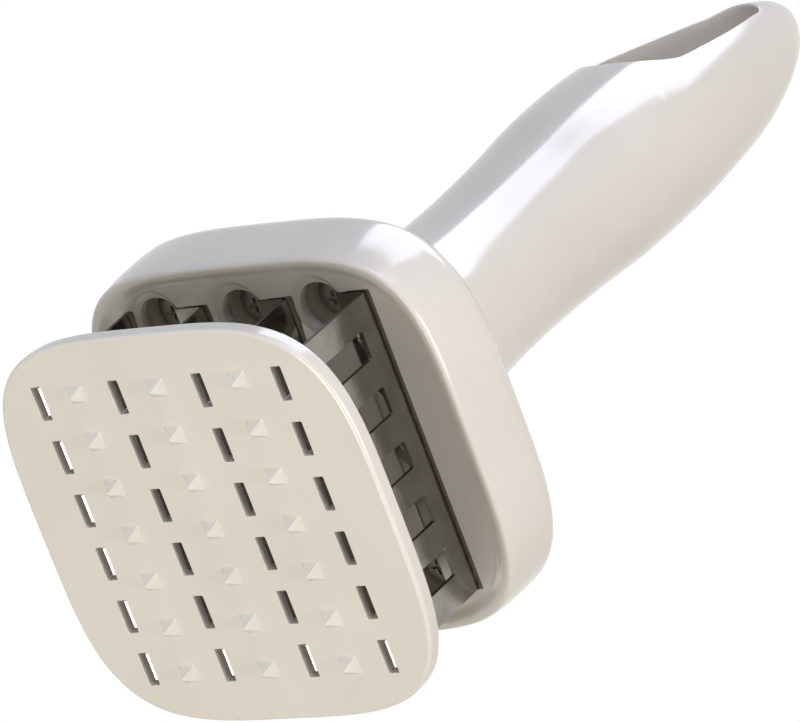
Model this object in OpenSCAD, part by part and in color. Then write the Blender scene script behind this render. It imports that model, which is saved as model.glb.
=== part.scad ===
// Blade meat tenderizer: a one-piece head and handle, four toothed blade strips under the head,
// and a sprung guard plate that hides the blade tips until the tool is pressed down.
// Z runs up the handle. The origin is on the tips of the guard plate's studs, on its middle.

/* [Guard plate] */
// How far the guard plate's edge lies inside the head's widest outline
plate_inset = 0.35; // [0.2:0.05:1]
// Squareness of the plate's outline, where 2 is an ellipse and a larger number is squarer
plate_square = 3.8; // [3.4:0.1:5]
// Thickness of the guard plate
plate_t = 2.8; // [2.6:0.1:3.2]
// Width of the bevel round the plate's two edges
plate_bevel = 0.5; // [0.2:0.1:0.8]
// Height of a stud under the plate
stud_h = 1.8; // [1:0.1:2.5]
// Width of a stud's square base
stud_w = 2.9; // [2:0.1:3.5]
// Number of studs in one row along the strips
stud_rows = 7; // [3:2:7]
// How far the last stud's middle lies inside the blade strips' ends
stud_end = 1.15; // [0.8:0.05:3]

/* [Blade strips] */
// Number of teeth on one strip
teeth = 6; // [4:2:6]
// Distance from a strip's end to the wall of the head
strip_end = 4.05; // [3.8:0.05:5]
// Width of one tooth
tooth_w = 4.5; // [3:0.1:5]
// Thickness of the strip's sheet steel
sheet_t = 0.7; // [0.5:0.05:0.9]
// Distance from an outer strip to the wall of the head beside it
strip_edge = 6.9; // [6.8:0.1:7.4]
// How far each inner strip is set outward from an even spacing
strip_shift = 0.35; // [0:0.05:0.5]
// Height of the solid band above the teeth
band_h = 4; // [3:0.1:5]
// Width of the flange that lies under the base cover
flange_w = 5.65; // [5:0.05:5.9]
// Height of a tooth's bevelled cutting tip
tip_bevel = 1.2; // [0.8:0.1:1.6]
// How far the tips stay inside the plate's face at rest
tip_inset = 0.6; // [0.3:0.1:1]
// Room round a tooth in its slot, along the strip
slot_end_room = 0.5; // [0.3:0.05:0.7]
// Room beside a tooth in its slot, across the strip
slot_side_room = 0.6; // [0.4:0.05:0.7]

/* [Head] */
// Widest width of the head
head_w = 66.8; // [65:0.2:70]
// Widest depth of the head
head_d = 65.2; // [64:0.2:68]
// Height of the gap between the guard plate and the head's rim at rest
guard_gap = 20.6; // [19.6:0.1:22]
// Height of the head from its rim to its shoulder
head_h = 13.6; // [13:0.1:15]
// How far the rim is drawn in from the widest outline
rim_draw = 1.2; // [0.8:0.1:2]
// Wall of the head round its opening
shell_wall = 2.6; // [2:0.1:3]
// How far the base cover lies above the rim
cover_recess = 0.8; // [0.4:0.1:1.2]
// Thickness of the base cover
cover_t = 2.4; // [2:0.1:3]

/* [Handle] */
// Height of the handle's end above the guard plate's studs
handle_top = 175; // [172:0.5:180]
// Width of the handle at its neck
neck_w = 25.6; // [25:0.2:28]
// Width of the handle at its swell
swell_w = 28; // [27:0.2:30]
// How far the handle's middle lies toward the front
handle_lean = 1.4; // [0:0.1:2]
// Width of the hanging hole at its lower end
hole_wide = 17.6; // [15:0.2:18.4]
// Width of the hanging hole at its upper end
hole_narrow = 10.2; // [8:0.2:10.6]
// How far the hole's sides bow outward, as the handle does
hole_bow = 0.45; // [0:0.05:0.6]
// Distance between the middles of the hole's two round ends
hole_span = 26.4; // [24:0.2:27]
// Distance from the handle's end to the middle of the hole's upper end
hole_drop = 14; // [13.8:0.1:16]

/* [Springs and guides] */
// How far the guard plate travels
travel = 17; // [10:0.5:18]
// Distance of each guide post from the middle
post_y = 6; // [6:0.1:6.4]
// Diameter of a guide post
post_d = 4; // [3.6:0.1:4.2]
// Running room round a guide post in its bush
post_room = 0.05; // [0.02:0.01:0.1]
// Diameter of the spring's wire
wire_d = 0.7; // [0.6:0.05:0.8]
// Diameter of the spring, wire middle to wire middle
coil_d = 6.8; // [6.6:0.1:7]
// Number of turns in a spring
coil_turns = 11; // [8:1:12]
// Bore of the cup that holds the spring's upper end
cup_bore = 8; // [7.8:0.1:8.4]
// Wall of the spring cup
cup_wall = 1; // [0.8:0.1:1.2]
// Depth of the spring cup, from the cover's underside
cup_depth = 8; // [6:0.1:9]
// Thickness of the cup's end wall
cup_end = 2; // [1.6:0.1:2.4]

/* [Fasteners] */
// Distance of the cover screws from the wall of the head
screw_edge = 6.2; // [6:0.1:6.6]
// Distance of a cover screw from the strip on its right
screw_off = 8.6; // [8.4:0.1:8.8]
// Bore of the well that a cover screw sits in
well_bore = 8.4; // [8.2:0.1:8.6]
// Depth of the well, from the cover's underside
well_depth = 5; // [4:0.1:6]
// Diameter of a cover screw's head
screw_head_d = 7.4; // [7:0.1:7.6]
// Diameter of a cover screw's shank
screw_d = 3; // [2.6:0.1:3.4]
// Distance of the outer rivets from the strip's end
rivet_end = 7.75; // [7.4:0.05:8]
// Diameter of a rivet's shank
rivet_d = 2; // [1.6:0.1:2.4]

/* [Hidden] */

IVORY = [0.86, 0.84, 0.78];
ACETAL = [0.93, 0.92, 0.9];
SILICONE = [0.35, 0.36, 0.38];
STEEL = [0.62, 0.62, 0.63];
DARK_STEEL = [0.36, 0.36, 0.36];

$fn = 64;
// An overlap that keeps one solid whole, and a cut's run past a face
eps = 0.02;
past = 1;
// Sides of the head's rings and of the cavity's rings, and rings in each step between stations
ring_sides = 48;
cavity_sides = 40;
plate_sides = 72;
ring_steps = 2;

plate_z = stud_h;
plate_top = plate_z + plate_t;
rim_z = plate_top + guard_gap;
cover_z = rim_z + cover_recess;
cover_top = cover_z + cover_t;
shoulder_z = rim_z + head_h;
head_x = head_w / 2;
head_y = head_d / 2;
wall_x = head_x - rim_draw - shell_wall;
wall_y = head_y - rim_draw - shell_wall;
plate_x = head_x - plate_inset;
plate_y = head_y - plate_inset;

outer_strip = wall_x - strip_edge;
inner_strip = outer_strip / 3 + strip_shift;
strip_x = [-outer_strip, -inner_strip, inner_strip, outer_strip];
strip_l = 2 * (wall_y - strip_end);
tooth_pitch = (strip_l - tooth_w) / (teeth - 1);
stud_pitch = (strip_l - 2 * stud_end) / (stud_rows - 1);
strip_room = 0.3;
bend_room = 0.7;
bend_depth = 1.6;
tip_z = plate_z + tip_inset;
slot_w = sheet_t + 2 * slot_side_room;
slot_l = tooth_w + 2 * slot_end_room;

// Fits
cover_room = 0.15;
cover_lip = 0.8;
press_room = 0.01;
screw_room = 0.2;
rivet_room = 0.05;

// The spring cup, its bush, the stop ring and the post's end
post_r = post_d / 2;
cup_r = cup_bore / 2;
cup_out = cup_r + cup_wall;
cup_end_z = cover_z + cup_depth;
bush_wall = 0.9;
bush_r = post_r + post_room + bush_wall;
bush_rim_r = bush_r + 0.8;
bush_rim_t = 1;
bush_rim_z = cup_end_z + cup_end;
ring_z = bush_rim_z + bush_rim_t;
ring_t = 2;
ring_gap = 0.3;
post_end_z = ring_z + ring_t;
socket_depth = 4;
boss_room = 0.1;
turn_rings = 8;
boss_r = coil_d / 2 * cos(180 / turn_rings) - wire_d / 2 - boss_room;
boss_h = 2.4;
post_foot_z = plate_top + boss_h - socket_depth;
washer_r = 2.9;
washer_t = 0.8;
post_screw_d = 2.4;
post_screw_l = 8;
post_head_r = 2.5;
post_head_h = 1.8;

// The cover screws and their wells
screw_y = wall_y - screw_edge;
well_r = well_bore / 2;
well_wall = 1.1;
well_floor = 2;
well_z = cover_z + well_depth;
well_top = well_z + well_floor;
boss_out = 3;
screw_l = 6.5;
screw_head_h = 1.8;
pilot_run = 0.5;

// The rivets
rivet_x = flange_w / 2;
rivet_head_r = 1.7;
rivet_head_h = 0.5;
burr_t = 0.5;
burr_r = 1.9;
rivet_tail_r = 1.5;
rivet_tail_h = 0.7;
rivet_y = strip_l / 2 - rivet_end;
rivet_places = [-rivet_y, 0, rivet_y];

// Stations of the outside: height, half width, half depth, middle along Y, squareness
neck = neck_w / 2;
swell = swell_w / 2;
lean = -handle_lean;
outer = [
    [rim_z, head_x - rim_draw, head_y - rim_draw, 0, 4.3],
    [rim_z + 3.8, head_x - 0.5, head_y - 0.5, 0, 4],
    [rim_z + 9, head_x, head_y, 0, 3.7],
    [shoulder_z - 1.8, head_x - 0.25, head_y - 0.25, 0, 3.7],
    [shoulder_z, head_x - 1.9, head_y - 1.8, 0, 3.7],
    [shoulder_z + 1.2, head_x - 5.8, head_y - 5.6, 0, 3.6],
    [shoulder_z + 3.4, neck + 9.8, neck + 9.6, 0.2 * lean, 3.2],
    [shoulder_z + 7.4, neck + 5.7, neck + 5.7, 0.5 * lean, 2.9],
    [shoulder_z + 13.4, neck + 2.7, neck + 2.8, 0.8 * lean, 2.7],
    [shoulder_z + 23.4, neck + 0.6, neck + 0.7, lean, 2.5],
    [shoulder_z + 39.4, neck - 0.1, neck, lean, 2.4],
    [shoulder_z + 56.4, neck + 0.2, neck + 0.4, lean, 2.4],
    [handle_top - 65, swell - 0.1, swell + 0.1, lean, 2.4],
    [handle_top - 49, swell - 0.1, swell, 0.8 * lean, 2.4],
    [handle_top - 37, swell - 0.8, swell - 1.3, 0.3 * lean, 2.4],
    [handle_top - 25, swell - 2.4, swell - 3.2, 0.5, 2.4],
    [handle_top - 15, swell - 4.7, swell - 5.2, 0.9, 2.3],
    [handle_top - 7, swell - 7.3, swell - 7.4, 0.9, 2.2],
    [handle_top - 2, swell - 10, swell - 9.9, 0.8, 2.1],
    [handle_top, 1.2, 1.2, 0.8, 2]
];

// Stations of the cavity, which is open at the rim and ends below the hanging hole
lip = shell_wall - 0.8;
handle_wall = 3;
inside = [
    [rim_z - past, wall_x + lip + 1, wall_y + lip + 1, 0, 4.2],
    [rim_z, wall_x + lip, wall_y + lip, 0, 4.2],
    [cover_z, wall_x, wall_y, 0, 4.2],
    [shoulder_z - 5, wall_x, wall_y, 0, 4],
    [shoulder_z - 2.6, wall_x - 2, wall_y - 2, 0, 3.8],
    [shoulder_z - 1, wall_x - 6.5, wall_y - 6.4, 0, 3.6],
    [shoulder_z + 1.6, neck + 5.5, neck + 5.5, 0.2 * lean, 3.2],
    [shoulder_z + 5.2, neck + 2, neck + 2, 0.5 * lean, 2.9],
    [shoulder_z + 11.4, neck - 0.4, neck - 0.3, 0.8 * lean, 2.7],
    [shoulder_z + 23.4, neck - handle_wall + 0.3, neck - handle_wall + 0.4, lean, 2.5],
    [shoulder_z + 39.4, neck - handle_wall, neck - handle_wall, lean, 2.4],
    [handle_top - 65, swell - handle_wall - 0.6, swell - handle_wall - 0.4, lean, 2.3],
    [handle_top - 59, swell - handle_wall - 2.4, swell - handle_wall - 2.2, lean, 2.2],
    [handle_top - 55, swell - handle_wall - 6.5, swell - handle_wall - 6.3, lean, 2.1],
    [handle_top - 54, 1, 1, lean, 2]
];

function signed_pow(v, p) = sign(v) * pow(abs(v), p);

// One ring of a rounded square: half width, half depth, middle along Y, squareness
function ring_at(hx, hy, yc, n, z, sides) = [
    for (i = [0 : sides - 1])
        let (a = 360 * i / sides)
        [hx * signed_pow(cos(a), 2 / n), yc + hy * signed_pow(sin(a), 2 / n), z]
];

// The slope of the stations at one of them, for a smooth curve through them all
function slope_at(tab, k) =
    let (a = max(k - 1, 0), b = min(k + 1, len(tab) - 1))
    (tab[b] - tab[a]) / (tab[b][0] - tab[a][0]);

function between(tab, k, u) =
    let (step = tab[k + 1][0] - tab[k][0])
    (2 * pow(u, 3) - 3 * pow(u, 2) + 1) * tab[k]
    + (pow(u, 3) - 2 * pow(u, 2) + u) * step * slope_at(tab, k)
    + (3 * pow(u, 2) - 2 * pow(u, 3)) * tab[k + 1]
    + (pow(u, 3) - pow(u, 2)) * step * slope_at(tab, k + 1);

function smooth(tab, steps) = [
    for (k = [0 : len(tab) - 2])
        for (s = [0 : steps - 1])
            between(tab, k, s / steps),
    tab[len(tab) - 1]
];

// A closed solid through rings of equal count, from the lowest to the highest
module loft(rings) {
    sides = len(rings[0]);
    last = (len(rings) - 1) * sides;
    faces = concat(
        [[for (i = [0 : sides - 1]) i]],
        [[for (i = [0 : sides - 1]) last + sides - 1 - i]],
        [for (r = [0 : len(rings) - 2])
            for (i = [0 : sides - 1])
                for (half = [0, 1])
                    let (
                        j = (i + 1) % sides,
                        a = r * sides + i,
                        b = r * sides + j
                    )
                    half == 0 ? [a, a + sides, b] : [b, a + sides, b + sides]]
    );
    polyhedron(points = [for (ring = rings) for (p = ring) p], faces = faces);
}

module loft_stations(tab, steps, sides) {
    loft([for (s = smooth(tab, steps)) ring_at(s[1], s[2], s[3], s[4], s[0], sides)]);
}

module at_posts() {
    for (side = [-1, 1])
        translate([0, side * post_y, 0]) children();
}

module at_screws() {
    for (i = [1 : 3])
        for (side = [-1, 1])
            translate([strip_x[i] - screw_off, side * screw_y, 0]) children();
}

module at_rivets() {
    for (x = strip_x)
        for (y = rivet_places)
            translate([x - rivet_x, y, 0]) children();
}

module tube(r_out, r_in, h) {
    difference() {
        cylinder(r = r_out, h = h);
        translate([0, 0, -past]) cylinder(r = r_in, h = h + 2 * past);
    }
}

// The head and handle: one hollow moulding, with bosses inside for the cover screws
module body_shell() {
    color(IVORY)
    difference() {
        union() {
            difference() {
                loft_stations(outer, ring_steps, ring_sides);
                loft_stations(inside, ring_steps, cavity_sides);
            }
            at_screws() screw_boss();
        }
        at_screws() translate([0, 0, well_top - past])
            cylinder(d = screw_d, h = screw_l - well_floor + pilot_run + past);
        hanging_hole();
    }
}

// A boss runs from the top of a well into the roof of the head
module screw_boss() {
    translate([0, 0, well_top]) cylinder(r = boss_out, h = shoulder_z + 0.6 - well_top);
}

// The hanging hole narrows upward with the handle, and its wall stays about as thick
module hanging_hole() {
    run = head_d;
    high_r = hole_narrow / 2;
    low_r = hole_wide / 2;
    translate([0, run / 2, handle_top - hole_drop]) rotate([90, 0, 0]) hull() {
        cylinder(r = high_r, h = run);
        translate([0, -0.42 * hole_span, 0]) cylinder(r = (high_r + low_r) / 2 + hole_bow, h = run);
        translate([0, -hole_span, 0]) cylinder(r = low_r, h = run);
    }
}

// A prism on the cover's outline, or inside it by the inset
module cover_outline(inset, h) {
    hx = wall_x - cover_room - inset;
    hy = wall_y - cover_room - inset;
    linear_extrude(h)
        polygon([for (p = ring_at(hx, hy, 0, 4.2, 0, plate_sides)) [p[0], p[1]]]);
}

// The cover that closes the head: it carries the blades, the screw wells and the spring cups
module base_cover() {
    color(IVORY)
    difference() {
        union() {
            translate([0, 0, cover_z]) cover_outline(0, cover_t);
            at_posts() translate([0, 0, cover_z]) cylinder(r = cup_out, h = cup_depth + cup_end);
            at_screws() translate([0, 0, cover_z])
                cylinder(r = well_r + well_wall, h = well_depth + well_floor);
        }
        at_posts() {
            translate([0, 0, cover_z - past]) cylinder(r = cup_r, h = cup_depth + past);
            translate([0, 0, cover_z]) cylinder(r = bush_r + press_room, h = cup_depth + cup_end + past);
        }
        at_screws() {
            translate([0, 0, cover_z - past]) cylinder(r = well_r, h = well_depth + past);
            translate([0, 0, cover_z]) cylinder(d = screw_d + 2 * screw_room, h = well_top);
        }
        at_rivets() translate([0, 0, cover_z - past])
            cylinder(d = rivet_d + 2 * rivet_room, h = cover_t + 2 * past);
        for (x = strip_x)
            translate([x - sheet_t / 2, -strip_l / 2 - strip_room, cover_z - past])
                cube([sheet_t + bend_room, strip_l + 2 * strip_room, bend_depth + past]);
        intersection() {
            for (x = strip_x)
                translate([x - flange_w, -strip_l / 2 - strip_room, cover_z - past])
                    cube([flange_w, strip_l + 2 * strip_room, sheet_t + past]);
            translate([0, 0, cover_z - past]) cover_outline(cover_lip, cover_t);
        }
    }
}

// A blade strip: one stamping with a flange, a band and a row of teeth with bevelled tips.
// The flange's corners are clipped where they would pass the cover's edge.
module blade_strip(x) {
    root_z = cover_z - band_h;
    notch_r = cup_r + 0.4;
    color(DARK_STEEL)
    difference() {
        union() {
            translate([x - sheet_t / 2, -strip_l / 2, root_z])
                cube([sheet_t, strip_l, band_h + sheet_t]);
            intersection() {
                translate([x - flange_w + strip_room, -strip_l / 2, cover_z])
                    cube([flange_w - strip_room, strip_l, sheet_t]);
                translate([0, 0, cover_z - past]) cover_outline(cover_lip + strip_room, cover_t);
            }
            for (i = [0 : teeth - 1])
                translate([x, -strip_l / 2 + i * tooth_pitch, 0]) tooth(root_z + eps);
        }
        for (side = [-1, 1])
            translate([x - inner_strip, side * post_y, cover_z - past])
                cylinder(r = notch_r, h = sheet_t + 2 * past);
        for (y = rivet_places)
            translate([x - rivet_x, y, cover_z - past])
                cylinder(d = rivet_d + 2 * rivet_room, h = sheet_t + 2 * past);
    }
}

module tooth(top) {
    half = sheet_t / 2;
    translate([0, tooth_w, 0]) rotate([90, 0, 0])
        linear_extrude(tooth_w)
            polygon([[-half, top], [half, top], [half, tip_z + tip_bevel], [-half, tip_z]]);
}

// The rivets that hold the flanges, headed below and upset above their washers
module strip_rivets() {
    color(STEEL)
    at_rivets() {
        translate([0, 0, cover_z - rivet_head_h]) cylinder(r = rivet_head_r, h = rivet_head_h);
        translate([0, 0, cover_z - eps])
            cylinder(d = rivet_d, h = cover_t + burr_t + rivet_tail_h + eps);
        translate([0, 0, cover_top + burr_t]) cylinder(r = rivet_tail_r, h = rivet_tail_h);
    }
}

module rivet_washers() {
    color(STEEL)
    at_rivets() translate([0, 0, cover_top]) tube(burr_r, rivet_d / 2 + rivet_room, burr_t);
}

// Flanged pan-head screws with a cross slot, driven up through the wells into the head's bosses
module cover_screws() {
    slot = 0.9;
    reach = 3.4;
    color(DARK_STEEL)
    at_screws() difference() {
        union() {
            translate([0, 0, well_z - screw_head_h]) cylinder(d = screw_head_d, h = screw_head_h);
            translate([0, 0, well_z - eps]) cylinder(d = screw_d, h = screw_l + eps);
        }
        for (turn = [0, 90])
            translate([0, 0, well_z - screw_head_h]) rotate([0, 0, turn])
                cube([reach, slot, 2 * slot], center = true);
    }
}

// A flanged bush in the end wall of each spring cup
module guide_bush(side) {
    foot = 0.1;
    color(ACETAL)
    translate([0, side * post_y, 0]) difference() {
        union() {
            translate([0, 0, cup_end_z + foot]) cylinder(r = bush_r, h = cup_end + bush_rim_t - foot);
            translate([0, 0, bush_rim_z]) cylinder(r = bush_rim_r, h = bush_rim_t);
        }
        translate([0, 0, cup_end_z]) cylinder(r = post_r + post_room, h = cup_end + bush_rim_t + past);
    }
}

// A soft ring that the post's washer comes down on
module stop_ring(side) {
    color(SILICONE)
    translate([0, side * post_y, ring_z]) tube(bush_rim_r - 0.1, post_r + ring_gap, ring_t);
}

// The spring: its wire's middle line climbs round the post, and stands straight at both ends
spring_z0 = plate_top;
spring_z1 = cup_end_z;
coil_r = coil_d / 2;
wire_r = wire_d / 2;
wire_sides = 6;
end_rise = wire_d;
coil_rings = coil_turns * turn_rings;
// The turns next to each end lie closer, as a ground end does
function coil_climb(t) = t - 0.06 * sin(360 * t);
spring_line = concat(
    [[coil_r, 0, spring_z0]],
    [for (i = [0 : coil_rings])
        let (
            t = i / coil_rings,
            a = 360 * coil_turns * t,
            z = spring_z0 + end_rise + (spring_z1 - spring_z0 - 2 * end_rise) * coil_climb(t)
        )
        [coil_r * cos(a), coil_r * sin(a), z]],
    [[coil_r, 0, spring_z1]]
);

function unit(v) = v / norm(v);

// The direction of the line at one of its points, which is upright at both ends
function line_dir(line, i) =
    i <= 0 || i >= len(line) - 1 ? [0, 0, 1]
    : unit(unit(line[i + 1] - line[i]) + unit(line[i] - line[i - 1]));

function wire_ring(line, i) =
    let (
        p = line[i],
        dir = line_dir(line, i),
        out = unit([p[0], p[1], 0]),
        side = unit(cross(dir, out)),
        away = cross(side, dir)
    )
    [for (k = [0 : wire_sides - 1])
        let (a = 360 * k / wire_sides)
        p + wire_r * (cos(a) * away + sin(a) * side)];

// The least gap between wire surfaces a turn apart, measured on the points of the line
least_gap = min([for (i = [1 : coil_rings - turn_rings])
    for (j = [i + turn_rings - 1 : min(i + turn_rings + 1, coil_rings + 1)])
        norm(spring_line[j] - spring_line[i]) - wire_d]);
echo(spring_least_gap = least_gap);

module spring(side) {
    color(STEEL)
    translate([0, side * post_y, 0])
        loft([for (i = [0 : len(spring_line) - 1]) wire_ring(spring_line, i)]);
}

// The guard plate: slots for the teeth, studs between them, and sockets for the guide posts
module guard_plate() {
    color(IVORY)
    difference() {
        union() {
            loft([
                for (s = [[0, plate_bevel], [plate_bevel, 0], [plate_t - plate_bevel, 0], [plate_t, plate_bevel]])
                    ring_at(plate_x - s[1], plate_y - s[1], 0, plate_square, plate_z + s[0], plate_sides)
            ]);
            studs();
            at_posts() translate([0, 0, plate_top - eps]) cylinder(r = boss_r, h = boss_h + eps);
        }
        tooth_slots();
        at_posts() translate([0, 0, post_foot_z]) cylinder(r = post_r + press_room, h = socket_depth + past);
    }
}

module studs() {
    middle = (stud_rows - 1) / 2;
    for (i = [0 : 2])
        for (j = [0 : stud_rows - 1])
            translate([(strip_x[i] + strip_x[i + 1]) / 2, (j - middle) * stud_pitch, plate_z + eps])
                rotate([180, 0, 45]) cylinder(d1 = stud_w * sqrt(2), d2 = 0.3, h = stud_h + eps, $fn = 4);
}

module tooth_slots() {
    middle = (teeth - 1) / 2;
    for (x = strip_x)
        for (i = [0 : teeth - 1])
            translate([x, (i - middle) * tooth_pitch, plate_z + plate_t / 2])
                cube([slot_w, slot_l, plate_t + 2 * past], center = true);
}

module guide_post(side) {
    color(STEEL)
    translate([0, side * post_y, post_foot_z]) difference() {
        cylinder(r = post_r, h = post_end_z - post_foot_z);
        translate([0, 0, post_end_z - post_foot_z - post_screw_l - pilot_run])
            cylinder(d = post_screw_d, h = post_screw_l + pilot_run + past);
    }
}

module post_washer(side) {
    color(STEEL)
    translate([0, side * post_y, post_end_z]) tube(washer_r, post_screw_d / 2 + screw_room, washer_t);
}

module post_screw(side) {
    head_z = post_end_z + washer_t;
    color(DARK_STEEL)
    translate([0, side * post_y, 0]) {
        translate([0, 0, head_z]) cylinder(r = post_head_r, h = post_head_h);
        translate([0, 0, post_end_z - post_screw_l])
            cylinder(d = post_screw_d, h = post_screw_l + washer_t + eps);
    }
}

body_shell();
base_cover();
blade_strip(strip_x[0]);  // blade_strip_1
blade_strip(strip_x[1]);  // blade_strip_2
blade_strip(strip_x[2]);  // blade_strip_3
blade_strip(strip_x[3]);  // blade_strip_4
strip_rivets();
rivet_washers();
cover_screws();
guide_bush(-1);  // guide_bush_front
guide_bush(1);  // guide_bush_rear
stop_ring(-1);  // stop_ring_front
stop_ring(1);  // stop_ring_rear
spring(-1);  // spring_front
spring(1);  // spring_rear
guard_plate();
guide_post(-1);  // guide_post_front
guide_post(1);  // guide_post_rear
post_washer(-1);  // post_washer_front
post_washer(1);  // post_washer_rear
post_screw(-1);  // post_screw_front
post_screw(1);  // post_screw_rear
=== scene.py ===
import bpy
import bmesh
import math
from mathutils import Matrix, Vector


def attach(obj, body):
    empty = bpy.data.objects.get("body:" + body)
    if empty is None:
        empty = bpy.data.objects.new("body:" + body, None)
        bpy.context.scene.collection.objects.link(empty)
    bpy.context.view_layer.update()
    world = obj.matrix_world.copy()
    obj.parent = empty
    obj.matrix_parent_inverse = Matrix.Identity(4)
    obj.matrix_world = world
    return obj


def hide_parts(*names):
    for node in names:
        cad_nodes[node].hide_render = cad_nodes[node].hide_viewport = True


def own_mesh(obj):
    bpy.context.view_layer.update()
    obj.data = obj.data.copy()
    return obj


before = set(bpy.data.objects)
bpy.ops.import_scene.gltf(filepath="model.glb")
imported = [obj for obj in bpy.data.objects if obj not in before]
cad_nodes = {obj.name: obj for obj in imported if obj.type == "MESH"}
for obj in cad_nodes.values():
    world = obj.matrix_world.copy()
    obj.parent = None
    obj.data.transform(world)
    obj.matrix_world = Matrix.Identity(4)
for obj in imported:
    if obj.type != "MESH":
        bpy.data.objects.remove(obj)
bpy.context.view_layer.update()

# ---------------------------------------------------------------- Studio
# A white studio, with the tool standing on its guard plate on a pale table. The camera is below and
# to the right, on a long lens, and looks up at the plate's studded face through the table.


def linear(hex_colour):
    """An sRGB colour such as "#E0D9CB" as linear red, green, blue and alpha."""
    parts = [int(hex_colour[i:i + 2], 16) / 255 for i in (1, 3, 5)]
    return [c / 12.92 if c <= 0.04045 else ((c + 0.055) / 1.055) ** 2.4 for c in parts] + [1.0]


def add_node(tree, kind, links=None, settings=None, **sockets):
    """A node with links from other nodes' outputs, its properties, and its own socket values."""
    node = tree.nodes.new(kind)
    for name, value in (settings or {}).items():
        setattr(node, name, value)
    for name, value in sockets.items():
        node.inputs[name.replace("_", " ")].default_value = value
    for target, source in (links or {}).items():
        tree.links.new(source, node.inputs[target])
    return node


def empty_material(name):
    """A new material and its node tree, with no nodes in it yet."""
    material = bpy.data.materials.new(name)
    material.use_nodes = True
    material.node_tree.nodes.clear()
    return material, material.node_tree


def finish_with(piece, *materials):
    """Gives a piece its materials, in place of any that it has."""
    piece.data.materials.clear()
    for material in materials:
        piece.data.materials.append(material)


camera_data = bpy.data.cameras.new("camera")
camera_data.sensor_width = 36.0
camera_data.lens = 303.0
camera_data.clip_start = 0.05
camera_data.clip_end = 20.0
camera = bpy.data.objects.new("camera", camera_data)
bpy.context.scene.collection.objects.link(camera)
camera.matrix_world = Matrix((
    (0.7854, 0.0687, 0.6151, 0.6271),
    (0.3381, -0.8801, -0.3334, -0.3398),
    (0.5185, 0.4698, -0.7145, -0.6741),
    (0.0, 0.0, 0.0, 1.0)))
bpy.context.scene.camera = camera
bpy.context.scene.view_settings.view_transform = "Standard"

# The world: a soft grey-white room on the object, plain white where the camera or a gloss sees it
world = bpy.data.worlds.new("studio_room")
bpy.context.scene.world = world
world.use_nodes = True
world_tree = world.node_tree
world_tree.nodes.clear()
light_path = add_node(world_tree, "ShaderNodeLightPath")
seen_or_through = add_node(world_tree, "ShaderNodeMath",
    {0: light_path.outputs["Is Camera Ray"], 1: light_path.outputs["Is Transmission Ray"]},
    {"operation": "MAXIMUM"})
seen = add_node(world_tree, "ShaderNodeMath",
    {0: seen_or_through.outputs[0], 1: light_path.outputs["Is Glossy Ray"]}, {"operation": "MAXIMUM"})
room_light = add_node(world_tree, "ShaderNodeBackground", Color=linear("#F2F4FA"), Strength=0.24)
white_sweep = add_node(world_tree, "ShaderNodeBackground", Color=(1.0, 1.0, 1.0, 1.0), Strength=1.0)
room_mix = add_node(world_tree, "ShaderNodeMixShader",
    {0: seen.outputs[0], 1: room_light.outputs[0], 2: white_sweep.outputs[0]})
add_node(world_tree, "ShaderNodeOutputWorld", {"Surface": room_mix.outputs[0]})

# The floor: an opal light table, lit a little from inside so that it looks pale and even. It shows the
# tool's shadow from above, and lets light and the camera through from below.
floor_half = 3.0
floor_mesh = bpy.data.meshes.new("floor")
floor_mesh.from_pydata(
    [(floor_half * x, floor_half * y, 0) for x, y in ((-1, -1), (1, -1), (1, 1), (-1, 1))],
    [], [(0, 1, 2, 3)])
floor = bpy.data.objects.new("floor", floor_mesh)
bpy.context.scene.collection.objects.link(floor)
opal_table, opal_tree = empty_material("opal_light_table")
opal_path = add_node(opal_tree, "ShaderNodeLightPath")
opal_side = add_node(opal_tree, "ShaderNodeNewGeometry")
opal_front = add_node(opal_tree, "ShaderNodeMath",
    {0: opal_path.outputs["Is Camera Ray"], 1: opal_side.outputs["Backfacing"]},
    {"operation": "SUBTRACT", "use_clamp": True})
opal_face = add_node(opal_tree, "ShaderNodeBsdfDiffuse", Color=linear("#F6F5F3"))
opal_glow = add_node(opal_tree, "ShaderNodeEmission", Color=linear("#F6F5F3"), Strength=0.3)
opal_lit = add_node(opal_tree, "ShaderNodeAddShader",
    {0: opal_face.outputs[0], 1: opal_glow.outputs[0]})
opal_open = add_node(opal_tree, "ShaderNodeBsdfTransparent")
opal_mix = add_node(opal_tree, "ShaderNodeMixShader",
    {0: opal_front.outputs[0], 1: opal_open.outputs[0], 2: opal_lit.outputs[0]})
add_node(opal_tree, "ShaderNodeOutputMaterial", {"Surface": opal_mix.outputs[0]})
finish_with(floor, opal_table)


def softbox(name, place, aim, width, height, watts, colour):
    """An area lamp at a place in metres, turned to face a point."""
    data = bpy.data.lights.new(name, "AREA")
    data.shape = "RECTANGLE"
    data.size, data.size_y = width, height
    data.energy = watts
    data.color = linear(colour)[:3]
    lamp = bpy.data.objects.new(name, data)
    bpy.context.scene.collection.objects.link(lamp)
    lamp.location = place
    lamp.rotation_mode = "QUATERNION"
    lamp.rotation_quaternion = (Vector(aim) - Vector(place)).to_track_quat("-Z", "Y")
    return lamp


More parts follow.
